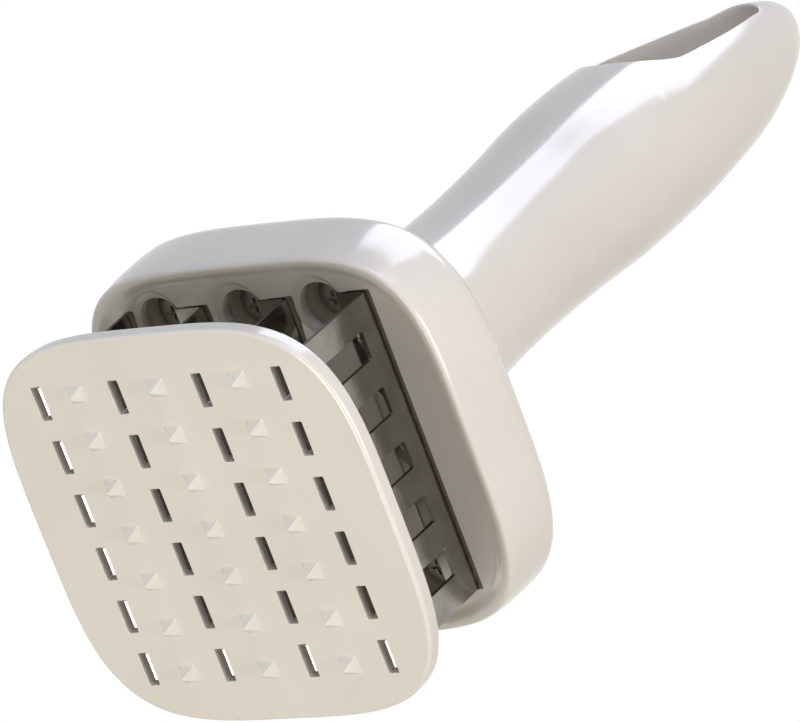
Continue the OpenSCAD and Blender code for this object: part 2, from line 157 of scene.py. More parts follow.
# Name, place, point faced, width and height in metres, watts and colour of each softbox
softbox("side_softbox", (0.87, 0.05, -0.01), (0, 0, 0.05), 0.42, 0.6, 4.5, "#FFFAF6")
softbox("low_softbox", (0.05, 0.05, -1.2), (0, 0, 0), 0.7, 0.7, 9.6, "#FFFCF4")
softbox("front_softbox", (0.42, -0.93, -0.05), (0, 0, 0.05), 0.5, 0.36, 4.1, "#D0DBFF")
softbox("handle_softbox", (0.52, -0.8, 0.42), (0, 0, 0.12), 0.4, 0.4, 0.8, "#FFFDF8")
top_lamp = softbox("top_softbox", (0.07, -0.74, 1.08), (0.07, -0.74, 0), 0.98, 0.92, 17.2, "#E6ECFF")
top_lamp.visible_diffuse = False  # It only draws the long highlight down the handle
back_lamp = softbox("back_softbox", (-0.55, 0.75, 0.6), (0, 0, 0.08), 0.7, 0.7, 6.5, "#FFFDF8")
back_lamp.visible_glossy = False  # It only fills the side that the camera doesn't see

# ---------------------------------------------------------------- Head and handle
# One hollow injection moulding in ivory ABS: a rounded square head that flows into a grip, with a
# long hanging hole through its end. Glossy satin from a polished mould, with no visible seam.

millimetre = 0.001
rim_z = 25.2
handle_top = 175.0
rim_round = 0.6
rim_rings = 7
ring_spacing = 1.25
cavity_spacing = 4.0
around = 128

# The opening's lip: half sizes at the rim, how far it draws in, and how high it rises
lip_half = (31.35, 30.55)
lip_in = 1.75
lip_rise = 0.798
lip_square = 4.2
lip_steps = 10

# The hanging hole: the rounding of its edge, its radii at three heights, how far it reaches, how far
# the grid round it stands off below and above, and the share of the way round that this window in
# the grid takes on each side of its middle
hole_round = 0.45
hole_radii = [[134.6, 8.8], [149.9, 7.4], [161.0, 5.1]]
hole_bottom, hole_top = 125.8, 166.1
window_below, window_above = 3.0, 1.8
window_share = 0.168

# Height, half width, half depth, middle along Y, squareness of each section, in millimetres
body_sections = [
    [25.2, 32.2, 31.4, 0, 4.3],
    [29, 32.9, 32.1, 0, 4],
    [34.2, 33.4, 32.6, 0, 3.7],
    [37, 33.15, 32.35, 0, 3.7],
    [38.8, 31.5, 30.8, 0, 3.7],
    [40, 27.6, 27.0, 0, 3.6],
    [42.2, 22.6, 22.4, -0.28, 3.2],
    [46.2, 18.5, 18.5, -0.7, 2.9],
    [52.2, 15.5, 15.6, -1.12, 2.7],
    [62.2, 13.4, 13.5, -1.4, 2.5],
    [78.2, 12.7, 12.8, -1.4, 2.4],
    [95.2, 13.0, 13.2, -1.4, 2.4],
    [110, 13.9, 14.1, -1.4, 2.4],
    [126, 13.9, 14.0, -1.12, 2.4],
    [138, 13.2, 12.7, -0.42, 2.4],
    [150, 11.6, 10.8, 0.5, 2.4],
    [160, 9.3, 8.8, 0.9, 2.3],
    [168, 6.7, 6.6, 0.9, 2.2],
    [173, 4.0, 4.1, 0.8, 2.1],
    [175, 1.2, 1.2, 0.8, 2],
]
cavity_sections = [
    [26.0, 29.6, 28.8, 0, 4.2],
    [33.8, 29.6, 28.8, 0, 4.0],
    [36.2, 27.6, 26.8, 0, 3.8],
    [37.8, 23.1, 22.4, 0, 3.6],
    [40.4, 18.3, 18.3, -0.28, 3.2],
    [44.0, 14.8, 14.8, -0.7, 2.9],
    [50.2, 12.4, 12.5, -1.12, 2.7],
    [62.2, 10.1, 10.2, -1.4, 2.5],
    [78.2, 9.8, 9.8, -1.4, 2.4],
    [110, 10.4, 10.6, -1.4, 2.3],
    [116, 8.6, 8.8, -1.4, 2.2],
    [120, 4.5, 4.7, -1.4, 2.1],
    [121, 1.0, 1.0, -1.4, 2],
]


def section_at(table, z):
    """The section at a height, on one smooth curve through all of a table's sections."""
    k = max(i for i in range(len(table) - 1) if table[i][0] <= z or i == 0)

    def slope(i):
        a, b = table[max(i - 1, 0)], table[min(i + 1, len(table) - 1)]
        return [(q - p) / (b[0] - a[0]) for p, q in zip(a, b)]

    step = table[k + 1][0] - table[k][0]
    u = (z - table[k][0]) / step
    weights = (2 * u**3 - 3 * u**2 + 1, (u**3 - 2 * u**2 + u) * step,
               3 * u**2 - 2 * u**3, (u**3 - u**2) * step)
    rows = (table[k], slope(k), table[k + 1], slope(k + 1))
    return [sum(w * row[c] for w, row in zip(weights, rows)) for c in range(1, 5)]


def section_point(section, angle, inset=0.0):
    """A point on a rounded-square section, at an angle in radians and drawn in by an inset."""
    half_x, half_y, middle, squareness = section
    c, s = math.cos(angle), math.sin(angle)
    x = (half_x - inset) * math.copysign(abs(c) ** (2 / squareness), c)
    y = (half_y - inset) * math.copysign(abs(s) ** (2 / squareness), s)
    return x, middle + y


def levels(table, spacing):
    """Heights from the first section to the last, through all of them, at most a spacing apart."""
    heights = []
    for low, high in zip(table, table[1:]):
        count = max(1, math.ceil((high[0] - low[0]) / spacing))
        heights += [low[0] + (high[0] - low[0]) * i / count for i in range(count)]
    return heights + [table[-1][0]]


def bridge(faces, lower, upper):
    """Quads between two closed rings of vertex numbers."""
    for i in range(len(lower)):
        j = (i + 1) % len(lower)
        faces.append((lower[i], lower[j], upper[j], upper[i]))


def shade(shape, smooth_angle):
    """Smooth shading, with a sharp edge wherever two faces meet at more than an angle."""
    for face in shape.faces:
        face.smooth = True
    for edge in shape.edges:
        folded = len(edge.link_faces) == 2 and edge.calc_face_angle(0.0) > math.radians(smooth_angle)
        edge.smooth = not folded


def mesh_object(name, points, faces, smooth_angle=40.0):
    """An object from points in millimetres, smooth-shaded up to an edge angle."""
    data = bpy.data.meshes.new(name)
    data.from_pydata([[c * millimetre for c in p] for p in points], [], faces)
    shape = bmesh.new()
    shape.from_mesh(data)
    bmesh.ops.remove_doubles(shape, verts=shape.verts, dist=1e-7)
    bmesh.ops.recalc_face_normals(shape, faces=shape.faces)
    shade(shape, smooth_angle)
    shape.to_mesh(data)
    shape.free()
    piece = bpy.data.objects.new(name, data)
    bpy.context.scene.collection.objects.link(piece)
    return piece


body_points = []
body_faces = []


def ring_of_section(section, z, inset=0.0):
    """Adds a ring of points round the body at a height, and returns their numbers."""
    first = len(body_points)
    for i in range(around):
        x, y = section_point(section, 2 * math.pi * i / around, inset)
        body_points.append((x, y, z))
    return list(range(first, first + around))


# The outside, from the rounded rim up to the handle's end
rings = []
for i in range(rim_rings):
    turn = math.pi / 2 * i / rim_rings
    low = rim_z + rim_round * (1 - math.cos(turn))
    rings.append(ring_of_section(section_at(body_sections, low), low, rim_round * (1 - math.sin(turn))))
heights = [h for h in levels(body_sections, ring_spacing) if h > rim_z + rim_round]
outside_first = len(rings)
for h in heights:
    rings.append(ring_of_section(section_at(body_sections, h), h))
hole_low = max(k for k, h in enumerate(heights) if h < hole_bottom - window_below) + outside_first
hole_high = min(k for k, h in enumerate(heights) if h > hole_top + window_above) + outside_first
columns = round(around * window_share)
for k in range(len(rings) - 1):
    for i in range(around):
        j = (i + 1) % around
        beside_hole = min(abs(i + 0.5 - around / 4), abs(i + 0.5 - 3 * around / 4)) > columns
        if beside_hole or not hole_low <= k < hole_high:
            body_faces.append((rings[k][i], rings[k][j], rings[k + 1][j], rings[k + 1][i]))
tip_first = len(body_points)
body_points.append((0, body_sections[-1][3], handle_top))
for i in range(around):
    body_faces.append((rings[-1][i], rings[-1][(i + 1) % around], tip_first))

# The hanging hole: on each side, loops that run from its rounded edge out to the grid round it.
# Its outline is the envelope of circles whose radius falls with height, as the handle narrows.


def hole_radius(z):
    """The radius at a height, on one parabola through the hole's three radii."""
    (z0, r0), (z1, r1), (z2, r2) = hole_radii
    return (r0 * (z - z1) * (z - z2) / ((z0 - z1) * (z0 - z2))
        + r1 * (z - z0) * (z - z2) / ((z1 - z0) * (z1 - z2))
        + r2 * (z - z0) * (z - z1) / ((z2 - z0) * (z2 - z1)))


def skin_point(x, z, side, depth):
    """A point at a depth below the skin of the body's front or back."""
    half_x, half_y, middle_y, squareness = section_at(body_sections, z)
    reach = half_y * max(0.0, 1 - abs(x / half_x) ** squareness) ** (1 / squareness)
    return x, middle_y + side * (reach - depth), z


hole_loops = {}
for side, middle in ((-1, 3 * around // 4), (1, around // 4)):
    low_row = [rings[hole_low][middle + i] for i in range(-columns, columns)]
    right = [rings[k][middle + columns] for k in range(hole_low, hole_high)]
    high_row = [rings[hole_high][middle + i] for i in range(columns, -columns, -1)]
    left = [rings[k][middle - columns] for k in range(hole_high, hole_low, -1)]
    outline = low_row + right + high_row + left
    edge, spokes = [], []
    for number in outline:
        x, _, z = body_points[number]
        centre = Vector((0, min(max(z, hole_radii[0][0]), hole_radii[-1][0])))
        away = Vector((x, z)) - centre
        hole_r = hole_radius(centre.y)
        edge.append(centre + away.normalized() * hole_r)
        spokes.append((away.normalized(), away.length - hole_r))
    # First round the edge, by angle, and then on along the skin, by a share of the way to the grid
    turns = [math.radians(angle) for angle in (90, 70, 50, 30, 15, 0)]
    stages = [(hole_round * (1 - math.sin(t)), hole_round * (1 - math.cos(t)), 0) for t in turns]
    stages += [(hole_round, 0, share) for share in (0.2, 0.45, 0.72)]
    loops = []
    for outward, depth, share in stages:
        loop = []
        for start, (way, length) in zip(edge, spokes):
            x, z = start + way * (outward + (length - hole_round) * share)
            loop.append(len(body_points))
            body_points.append(skin_point(x, z, side, depth))
        loops.append(loop)
    loops.append(outline)
    for inner, outer in zip(loops, loops[1:]):
        bridge(body_faces, inner, outer)
    hole_loops[side] = loops[0]

# Front and back outlines run opposite ways round, so the back one is matched by place
front = hole_loops[-1]
back = []
for number in front:
    x, _, z = body_points[number]
    back.append(min(hole_loops[1],
        key=lambda n: (body_points[n][0] - x) ** 2 + (body_points[n][2] - z) ** 2))
wall = [front]
for share in (0.25, 0.5, 0.75):
    loop = []
    for a, b in zip(front, back):
        loop.append(len(body_points))
        body_points.append(tuple(p + (q - p) * share for p, q in zip(body_points[a], body_points[b])))
    wall.append(loop)
wall.append(back)
for a, b in zip(wall, wall[1:]):
    bridge(body_faces, a, b)

# The inside: the lip that the cover sits in, then the hollow up to the blind end in the handle
cavity_rings = []
for i in range(lip_steps + 1):
    share = i / lip_steps
    half_x, half_y = lip_half[0] - lip_in * share, lip_half[1] - lip_in * share
    rise = lip_rise * (3 * share**2 - 2 * share**3)
    cavity_rings.append(ring_of_section([half_x, half_y, 0, lip_square], rim_z + rise))
bridge(body_faces, rings[0], cavity_rings[0])
for h in levels(cavity_sections, cavity_spacing):
    cavity_rings.append(ring_of_section(section_at(cavity_sections, h), h))
for a, b in zip(cavity_rings, cavity_rings[1:]):
    bridge(body_faces, a, b)
body_faces.append(tuple(cavity_rings[-1]))

body = mesh_object("moulded_head_and_handle", body_points, body_faces)

# Ivory ABS, injection moulded in a polished tool: a warm off-white with a soft gloss, the faintest
# cloudiness in the colour over 20 mm, and a skin of ripples about 0.4 mm wide and very shallow.
ivory, ivory_tree = empty_material("moulded_ivory_ABS")
ivory_place = add_node(ivory_tree, "ShaderNodeTexCoord")
ivory_cloud = add_node(ivory_tree, "ShaderNodeTexNoise", {"Vector": ivory_place.outputs["Object"]},
    Scale=50.0, Detail=3.0, Roughness=0.5)
ivory_tint = add_node(ivory_tree, "ShaderNodeValToRGB", {"Fac": ivory_cloud.outputs["Fac"]})
for stop, place, colour in zip(ivory_tint.color_ramp.elements, (0.3, 0.7), ("#E0DACD", "#E5DFD3")):
    stop.position, stop.color = place, linear(colour)
ivory_skin = add_node(ivory_tree, "ShaderNodeTexNoise", {"Vector": ivory_place.outputs["Object"]},
    Scale=2500.0, Detail=2.0)
ivory_bump = add_node(ivory_tree, "ShaderNodeBump", {"Height": ivory_skin.outputs["Fac"]},
    Strength=0.05, Distance=0.0001)
ivory_gloss = add_node(ivory_tree, "ShaderNodeMapRange", {"Value": ivory_cloud.outputs["Fac"]},
    To_Min=0.13, To_Max=0.19)
ivory_shader = add_node(ivory_tree, "ShaderNodeBsdfPrincipled",
    {"Base Color": ivory_tint.outputs["Color"], "Roughness": ivory_gloss.outputs[0],
     "Normal": ivory_bump.outputs["Normal"]}, IOR=1.53)
add_node(ivory_tree, "ShaderNodeOutputMaterial", {"Surface": ivory_shader.outputs[0]})
finish_with(body, ivory)
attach(body, "housing")
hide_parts("body_shell")

# ---------------------------------------------------------------- Base cover
# The same ivory ABS: a flat cover pressed into the head's rim, with two deep cups for the springs
# and six wells for the screws. Shallow beds take the strips' flanges, so these lie flush with it.

cover_z = 26.0
cover_top = 28.4
cover_half = (29.59, 28.79)
cover_square = 4.2
outer_strip = 22.7
inner_strip = 7.917
strip_half = 24.75
strip_x = (-outer_strip, -inner_strip, inner_strip, outer_strip)
post_y = 6
post_places = [(0, -post_y), (0, post_y)]
screw_aside = 8.6
screw_y = 22.6
screw_places = [(x - screw_aside, side * screw_y) for x in strip_x[1:] for side in (-1, 1)]

# Beds for the flanges, and the narrow grooves beside them that the bands bend down from
bed_half = 2.825
bed_depth = 0.7
bed_inset = 0.94
groove_half = 0.65
groove_shift = 0.3
groove_depth = 2.2
end_room = 0.3
corner_r = 0.2

# Cups and wells: radii of the bores, and the mouths of the wells, scooped out toward one side
cup_r = 4.0
cup_lip = 0.5
well_r = 4.2
well_scoop = 2.1
scoop_shift = 1.8
scoop_depth = 1.9
scoop_steps = 8
well_sides = 48

# Radius and height round the walls of a cup, with its bush's hole in the end, and of a screw well
wall_foot = cover_z + 0.4
cup_wall = [(cup_r, wall_foot), (cup_r, 34.0), (2.95, 34.0), (2.95, 36.0), (4.7, 36.0), (5.0, 35.7),
    (5.0, wall_foot)]
well_wall = [(well_r, wall_foot), (well_r, 31.0), (1.7, 31.0), (1.7, 33.0), (5.1, 33.0), (5.3, 32.8),
    (5.3, wall_foot)]


def turned(points, faces, profile, places, sides=48, closed=False):
    """Adds a turned shape at each place, from radius and height pairs; a closed profile is a tube."""
    for place_x, place_y in places:
        loops = []
        for radius, z in profile:
            first = len(points)
            for i in range(sides):
                t = 2 * math.pi * i / sides
                points.append((place_x + radius * math.cos(t), place_y + radius * math.sin(t), z))
            loops.append(list(range(first, first + sides)))
        if closed:
            loops.append(loops[0])
        for a, b in zip(loops, loops[1:]):
            bridge(faces, a, b)


def add_stack(points, faces, loops):
    """Adds a closed solid through loops of points, from the lowest to the highest."""
    numbers = []
    for loop in loops:
        numbers.append(list(range(len(points), len(points) + len(loop))))
        points.extend(loop)
    for a, b in zip(numbers, numbers[1:]):
        bridge(faces, a, b)
    faces.append(tuple(reversed(numbers[0])))
    faces.append(tuple(numbers[-1]))


def rounded_rectangle(middle, half_x, half_y, corner, z, steps=4):
    """A loop round a rectangle with rounded corners, at a height."""
    loop = []
    for quarter, (sx, sy) in enumerate(((1, 1), (-1, 1), (-1, -1), (1, -1))):
        for i in range(steps + 1):
            t = math.pi / 2 * (quarter + i / steps)
            loop.append((middle[0] + sx * (half_x - corner) + corner * math.cos(t),
                         middle[1] + sy * (half_y - corner) + corner * math.sin(t), z))
    return loop


def rounded_square(half, squareness, inset, z, sides=144):
    """A loop round a rounded square, drawn in by an inset, at a height."""
    section = (half[0], half[1], 0, squareness)
    return [section_point(section, 2 * math.pi * i / sides, inset) + (z,) for i in range(sides)]


def apply_modifiers(piece):
    """Turns a piece's modifiers into its mesh."""
    seen_by = bpy.context.evaluated_depsgraph_get()
    made = bpy.data.meshes.new_from_object(piece.evaluated_get(seen_by))
    piece.modifiers.clear()
    piece.data = made


def cut(piece, points, faces, operation="DIFFERENCE"):
    """Cuts a solid, given by its points and faces, out of a piece."""
    cutter = mesh_object("cutter", points, faces)
    step = piece.modifiers.new("cut", "BOOLEAN")
    step.operation = operation
    step.solver = "EXACT"
    step.object = cutter
    bpy.context.view_layer.update()
    apply_modifiers(piece)
    bpy.data.objects.remove(cutter)


def join_shape(piece, points, faces):
    """Adds more shapes to a piece's mesh."""
    extra = mesh_object("extra", points, faces)
    shape = bmesh.new()
    shape.from_mesh(piece.data)
    shape.from_mesh(extra.data)
    shape.to_mesh(piece.data)
    shape.free()
    bpy.data.objects.remove(extra)


def even_normals(piece, smooth_angle=40.0):
    """Smooth shading that keeps flat faces flat: large faces lead the normals next to them."""
    shape = bmesh.new()
    shape.from_mesh(piece.data)
    shade(shape, smooth_angle)
    shape.to_mesh(piece.data)
    shape.free()
    step = piece.modifiers.new("even_normals", "WEIGHTED_NORMAL")
    step.mode = "FACE_AREA"
    step.weight = 50
    step.keep_sharp = True
    bpy.context.view_layer.update()
    apply_modifiers(piece)


def round_over(radius, steps=4):
    """Depth and inset pairs of a rounded edge, from its face inward."""
    turns = [math.pi / 2 * i / steps for i in range(steps + 1)]
    return [(radius * (1 - math.cos(t)), radius * (1 - math.sin(t))) for t in turns]


cover_points, cover_faces = [], []
cover_loops = [rounded_square(cover_half, cover_square, 0, z) for z in (cover_z, cover_top)]
add_stack(cover_points, cover_faces, cover_loops)
cover = mesh_object("moulded_base_cover", cover_points, cover_faces)


def lipped_bore(radius, lip, low, high):
    """A cutter's profile for a bore whose lower edge is rounded over."""
    profile = [(0, low - 1), (radius + lip, low - 1)]
    profile += [(radius + inset, low + depth) for depth, inset in round_over(lip)]
    return profile + [(radius, high), (0, high)]


bore_points, bore_faces = [], []
turned(bore_points, bore_faces, lipped_bore(cup_r, cup_lip, cover_z, cover_top + 1), post_places)
for place_x, place_y in screw_places:
    mouth = []
    for step in range(scoop_steps + 1):
        turn = math.pi / 2 * (step / scoop_steps)
        mouth_r = well_r + well_scoop * (1 - math.sin(turn))
        mouth_z = cover_z + scoop_depth * (1 - math.cos(turn))
        mouth_x = place_x - scoop_shift * (1 - math.sin(turn))
        mouth.append([
            (mouth_x + mouth_r * math.cos(2 * math.pi * i / well_sides),
             place_y + mouth_r * math.sin(2 * math.pi * i / well_sides), mouth_z)
            for i in range(well_sides)])
    below = [(x, y, cover_z - 1) for x, y, _ in mouth[0]]
    above = [(x, y, cover_top + 1) for x, y, _ in mouth[-1]]
    add_stack(bore_points, bore_faces, [below] + mouth + [above])
cut(cover, bore_points, bore_faces)
bed_points, bed_faces = [], []
for x in strip_x:
    add_stack(bed_points, bed_faces, [
        rounded_rectangle((x - bed_half, 0), bed_half, strip_half + end_room, corner_r, z)
        for z in (cover_z - 1, cover_z + bed_depth)])
clip_points, clip_faces = [], []
add_stack(clip_points, clip_faces, [
    rounded_square(cover_half, cover_square, bed_inset, z) for z in (cover_z - 2, cover_z + 2)])
beds = mesh_object("beds", bed_points, bed_faces)
cut(beds, clip_points, clip_faces, "INTERSECT")
bed_shape = beds.data
cut(cover, [tuple(c / millimetre for c in v.co) for v in bed_shape.vertices],
    [tuple(f.vertices) for f in bed_shape.polygons])
bpy.data.objects.remove(beds)
groove_points, groove_faces = [], []
for x in strip_x:
    add_stack(groove_points, groove_faces, [
        rounded_rectangle((x + groove_shift, 0), groove_half, strip_half + end_room, corner_r, z)
        for z in (cover_z - 1, cover_z + groove_depth)])
cut(cover, groove_points, groove_faces)
tower_points, tower_faces = [], []
turned(tower_points, tower_faces, cup_wall, post_places, closed=True)
turned(tower_points, tower_faces, well_wall, screw_places, closed=True)
join_shape(cover, tower_points, tower_faces)
even_normals(cover)
finish_with(cover, ivory)
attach(cover, "housing")
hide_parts("base_cover")

# ---------------------------------------------------------------- Blade strips
# Four stampings in hardened sheet steel, each bent to an L: a flange that lies in the cover, and a
# band with six long teeth. Their ends are ground to a bevel, and stop just inside the guard plate.

sheet_t = 0.7
band_low = 22.0
teeth = 6
tooth_pitch = 9.0
tooth_half = 2.25
root_r = 0.35
root_middle = 0.29
flange_reach = 5.35
flange_inset = 1.24
bend_r = 0.4
bend_steps = 5
cup_relief_r = 4.4

# Heights of the tips: the point, and the far side of a bevelled and of a blunt tip. Then the small
# bevel that takes the point off the blunt ones, and how far every sharp edge is broken.
tip_z = 2.4
bevel_z = 3.6
blunt_z = 2.71
back_bevel = 0.4
back_height = 1.1
edge_break = 0.07


def comb_outline(blunt):
    """The strip's side view below its bend, as y, z on the left face and z on the right face."""
    outline = [(-strip_half, cover_z - bend_r, cover_z - bend_r)]
    root_z = band_low - root_r
    middle_z = band_low - root_r * root_middle
    for i in range(teeth):
        y = (i - (teeth - 1) / 2) * tooth_pitch
        right_tip = blunt_z if i in blunt else bevel_z
        if i > 0:
            outline += [(y - tooth_half - root_r, band_low, band_low),
                (y - tooth_half - root_r * root_middle, middle_z, middle_z),
                (y - tooth_half, root_z, root_z)]
        outline += [(y - tooth_half, tip_z, right_tip), (y + tooth_half, tip_z, right_tip)]
        if i < teeth - 1:
            outline += [(y + tooth_half, root_z, root_z),
                (y + tooth_half + root_r * root_middle, middle_z, middle_z),
                (y + tooth_half + root_r, band_low, band_low)]
    outline.append((strip_half, cover_z - bend_r, cover_z - bend_r))
    return outline


# Hardened sheet steel, rolled and then brushed along the strip: grey and fairly dark, with lines that
# spread its reflections across the teeth. They are 0.15 mm apart, coarser than real ones, to show.
blade_steel, steel_tree = empty_material("brushed_blade_steel")
steel_place = add_node(steel_tree, "ShaderNodeTexCoord")
steel_stretch = add_node(steel_tree, "ShaderNodeMapping", {"Vector": steel_place.outputs["Object"]},
    Scale=(6500.0, 130.0, 6500.0))
steel_lines = add_node(steel_tree, "ShaderNodeTexNoise", {"Vector": steel_stretch.outputs["Vector"]},
    Scale=1.0, Detail=2.0)
steel_cloud = add_node(steel_tree, "ShaderNodeTexNoise", {"Vector": steel_place.outputs["Object"]},
    Scale=260.0, Detail=3.0)
steel_tint = add_node(steel_tree, "ShaderNodeValToRGB", {"Fac": steel_cloud.outputs["Fac"]})
for stop, place, colour in zip(steel_tint.color_ramp.elements, (0.35, 0.65), ("#8A8780", "#98958D")):
    stop.position, stop.color = place, linear(colour)
steel_rough = add_node(steel_tree, "ShaderNodeMapRange", {"Value": steel_lines.outputs["Fac"]},
    To_Min=0.09, To_Max=0.19)
steel_bump = add_node(steel_tree, "ShaderNodeBump", {"Height": steel_lines.outputs["Fac"]},
    Strength=0.25, Distance=0.00005)
steel_shader = add_node(steel_tree, "ShaderNodeBsdfPrincipled",
    {"Base Color": steel_tint.outputs["Color"], "Roughness": steel_rough.outputs[0],
     "Normal": steel_bump.outputs["Normal"]}, Metallic=1.0)
add_node(steel_tree, "ShaderNodeOutputMaterial", {"Surface": steel_shader.outputs[0]})

# The same steel, ground after hardening at the tips: clean and bright, with marks 0.1 mm apart that
# are drawn coarser than real ones
ground_steel, ground_tree = empty_material("ground_edge_steel")
ground_place = add_node(ground_tree, "ShaderNodeTexCoord")
ground_stretch = add_node(ground_tree, "ShaderNodeMapping", {"Vector": ground_place.outputs["Object"]},
    Scale=(9000.0, 400.0, 400.0))
ground_lines = add_node(ground_tree, "ShaderNodeTexNoise", {"Vector": ground_stretch.outputs["Vector"]},
    Scale=1.0, Detail=2.0)
ground_tint = add_node(ground_tree, "ShaderNodeValToRGB", {"Fac": ground_lines.outputs["Fac"]})
for stop, place, colour in zip(ground_tint.color_ramp.elements, (0.3, 0.7), ("#A8A59E", "#C0BDB6")):
    stop.position, stop.color = place, linear(colour)
ground_rough = add_node(ground_tree, "ShaderNodeMapRange", {"Value": ground_lines.outputs["Fac"]},
    To_Min=0.12, To_Max=0.22)
ground_shader = add_node(ground_tree, "ShaderNodeBsdfPrincipled",
    {"Base Color": ground_tint.outputs["Color"], "Roughness": ground_rough.outputs[0]}, Metallic=1.0)
add_node(ground_tree, "ShaderNodeOutputMaterial", {"Surface": ground_shader.outputs[0]})

# The same steel, sheared at the strip's ends and the teeth's sides: darker and duller, with a torn grain
# of 0.25 mm
sheared_steel, sheared_tree = empty_material("sheared_edge_steel")
sheared_place = add_node(sheared_tree, "ShaderNodeTexCoord")
sheared_grain = add_node(sheared_tree, "ShaderNodeTexNoise", {"Vector": sheared_place.outputs["Object"]},
    Scale=4000.0, Detail=2.0)
sheared_tint = add_node(sheared_tree, "ShaderNodeValToRGB", {"Fac": sheared_grain.outputs["Fac"]})
sheared_tint.color_ramp.elements[0].color = linear("#45433F")
sheared_tint.color_ramp.elements[1].color = linear("#56534F")
sheared_shader = add_node(sheared_tree, "ShaderNodeBsdfPrincipled",
    {"Base Color": sheared_tint.outputs["Color"]}, Roughness=0.42, Metallic=1.0)
add_node(sheared_tree, "ShaderNodeOutputMaterial", {"Surface": sheared_shader.outputs[0]})

# Every tooth of the first strip, and the last tooth of the others, is ground nearly flat
blunt_teeth = {1: range(teeth), 2: [teeth - 1], 3: [teeth - 1], 4: [teeth - 1]}
for number, x in enumerate(strip_x, 1):
    left, right = x - sheet_t / 2, x + sheet_t / 2
    bend_x, bend_z = left - bend_r, cover_z - bend_r
    outer_r = bend_r + sheet_t
    outline = comb_outline(blunt_teeth[number])
    strip_points = [(left, y, z) for y, z, _ in outline] + [(right, y, z) for y, _, z in outline]
    count = len(outline)
    strip_faces = [tuple(range(count)), tuple(reversed(range(count, 2 * count)))]
    strip_faces += [(i, i + 1, count + i + 1, count + i) for i in range(count - 1)]
    # The bend and the flange run on from the comb's top edges at both ends of the strip
    turns = [math.pi / 2 * i / bend_steps for i in range(1, bend_steps + 1)]
    under = [(bend_x + bend_r * math.cos(t), bend_z + bend_r * math.sin(t)) for t in turns]
    over = [(bend_x + outer_r * math.cos(t), bend_z + outer_r * math.sin(t)) for t in turns]
    under.append((x - flange_reach, cover_z))
    over.append((x - flange_reach, cover_z + sheet_t))
    ends = []
    for y, low, high in ((-strip_half, 0, count), (strip_half, count - 1, 2 * count - 1)):
        first = len(strip_points)
        strip_points += [(px, y, pz) for px, pz in under + over]
        ends.append(([low] + list(range(first, first + len(under))),
                     [high] + list(range(first + len(under), first + 2 * len(under)))))
    for i in range(len(under)):
        for side in (0, 1):
            strip_faces.append((ends[0][side][i], ends[0][side][i + 1],
                ends[1][side][i + 1], ends[1][side][i]))
        for end in ends:
            strip_faces.append((end[0][i], end[0][i + 1], end[1][i + 1], end[1][i]))
    strip_faces.append((ends[0][0][-1], ends[0][1][-1], ends[1][1][-1], ends[1][0][-1]))
    strip = mesh_object(f"blade_strip_{number}_dressed", strip_points, strip_faces)
    # Every flange has the same two bites, which clear the cups beside the third strip
    bite_points, bite_faces = [], []
    bite_low, bite_high = cover_z - 0.2, cover_z + 2
    bite = [(0, bite_low), (cup_relief_r, bite_low), (cup_relief_r, bite_high), (0, bite_high)]
    turned(bite_points, bite_faces, bite, [(x - inner_strip, y) for _, y in post_places])
    cut(strip, bite_points, bite_faces)
    # The flange's corners follow the cover's edge; the band below the cover keeps its full length
    clip_points, clip_faces = [], []
    add_stack(clip_points, clip_faces, [rounded_square(cover_half, cover_square, inset, z)
        for inset, z in ((-2, -1), (-2, cover_z - 0.02),
            (flange_inset, cover_z - 0.01), (flange_inset, cover_z + 2))])
    cut(strip, clip_points, clip_faces, "INTERSECT")
    # The wedge that takes off the blunt teeth's points spans them from gap to gap
    first_y = (min(blunt_teeth[number]) - teeth / 2) * tooth_pitch
    last_y = (max(blunt_teeth[number]) + 1 - teeth / 2) * tooth_pitch
    wedge = [(left - 0.2, tip_z - 0.2), (left + back_bevel, tip_z - 0.2),
        (left - 0.2, tip_z + back_height)]
    wedge_points = [(px, y, pz) for y in (first_y, last_y) for px, pz in wedge]
    cut(strip, wedge_points, [(0, 1, 2), (5, 4, 3), (0, 3, 4, 1), (1, 4, 5, 2), (2, 5, 3, 0)])
    step = strip.modifiers.new("soft_edges", "BEVEL")
    step.width = edge_break * millimetre
    step.segments = 2
    step.limit_method = "ANGLE"
    step.angle_limit = math.radians(50)
    bpy.context.view_layer.update()
    apply_modifiers(strip)
    even_normals(strip, 35.0)
    finish_with(strip, blade_steel, ground_steel, sheared_steel)
    # Faces that look down at the tips are ground, and faces that look along the strip are sheared
    for face in strip.data.polygons:
        if face.center.z < bevel_z * millimetre + 1e-6 and face.normal.z < -0.8:
            face.material_index = 1
        elif abs(face.normal.y) > 0.95:
            face.material_index = 2
    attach(strip, "housing")
    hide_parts(f"blade_strip_{number}")

# ---------------------------------------------------------------- Rivets and their washers
# Twelve solid rivets in nickel-plated steel hold the flanges: a low domed head below, and a tail
# upset over a flat washer above the cover, which only shows when the cover is off.

rivet_y = 17
rivet_places = [(x - bed_half, y) for x in strip_x for y in (-rivet_y, 0, rivet_y)]

# Radius and height up the rivet: the low domed head, the shank, and the upset tail above its washer
rivet_profile = [
    (0, 25.5), (0.6, 25.52), (1.1, 25.6), (1.5, 25.76), (1.68, 25.92), (1.7, 26.0), (1.0, 26.02),
    (1.0, 28.85), (1.2, 28.9), (1.48, 29.05), (1.5, 29.3), (1.3, 29.52), (0.8, 29.59), (0, 29.6)]

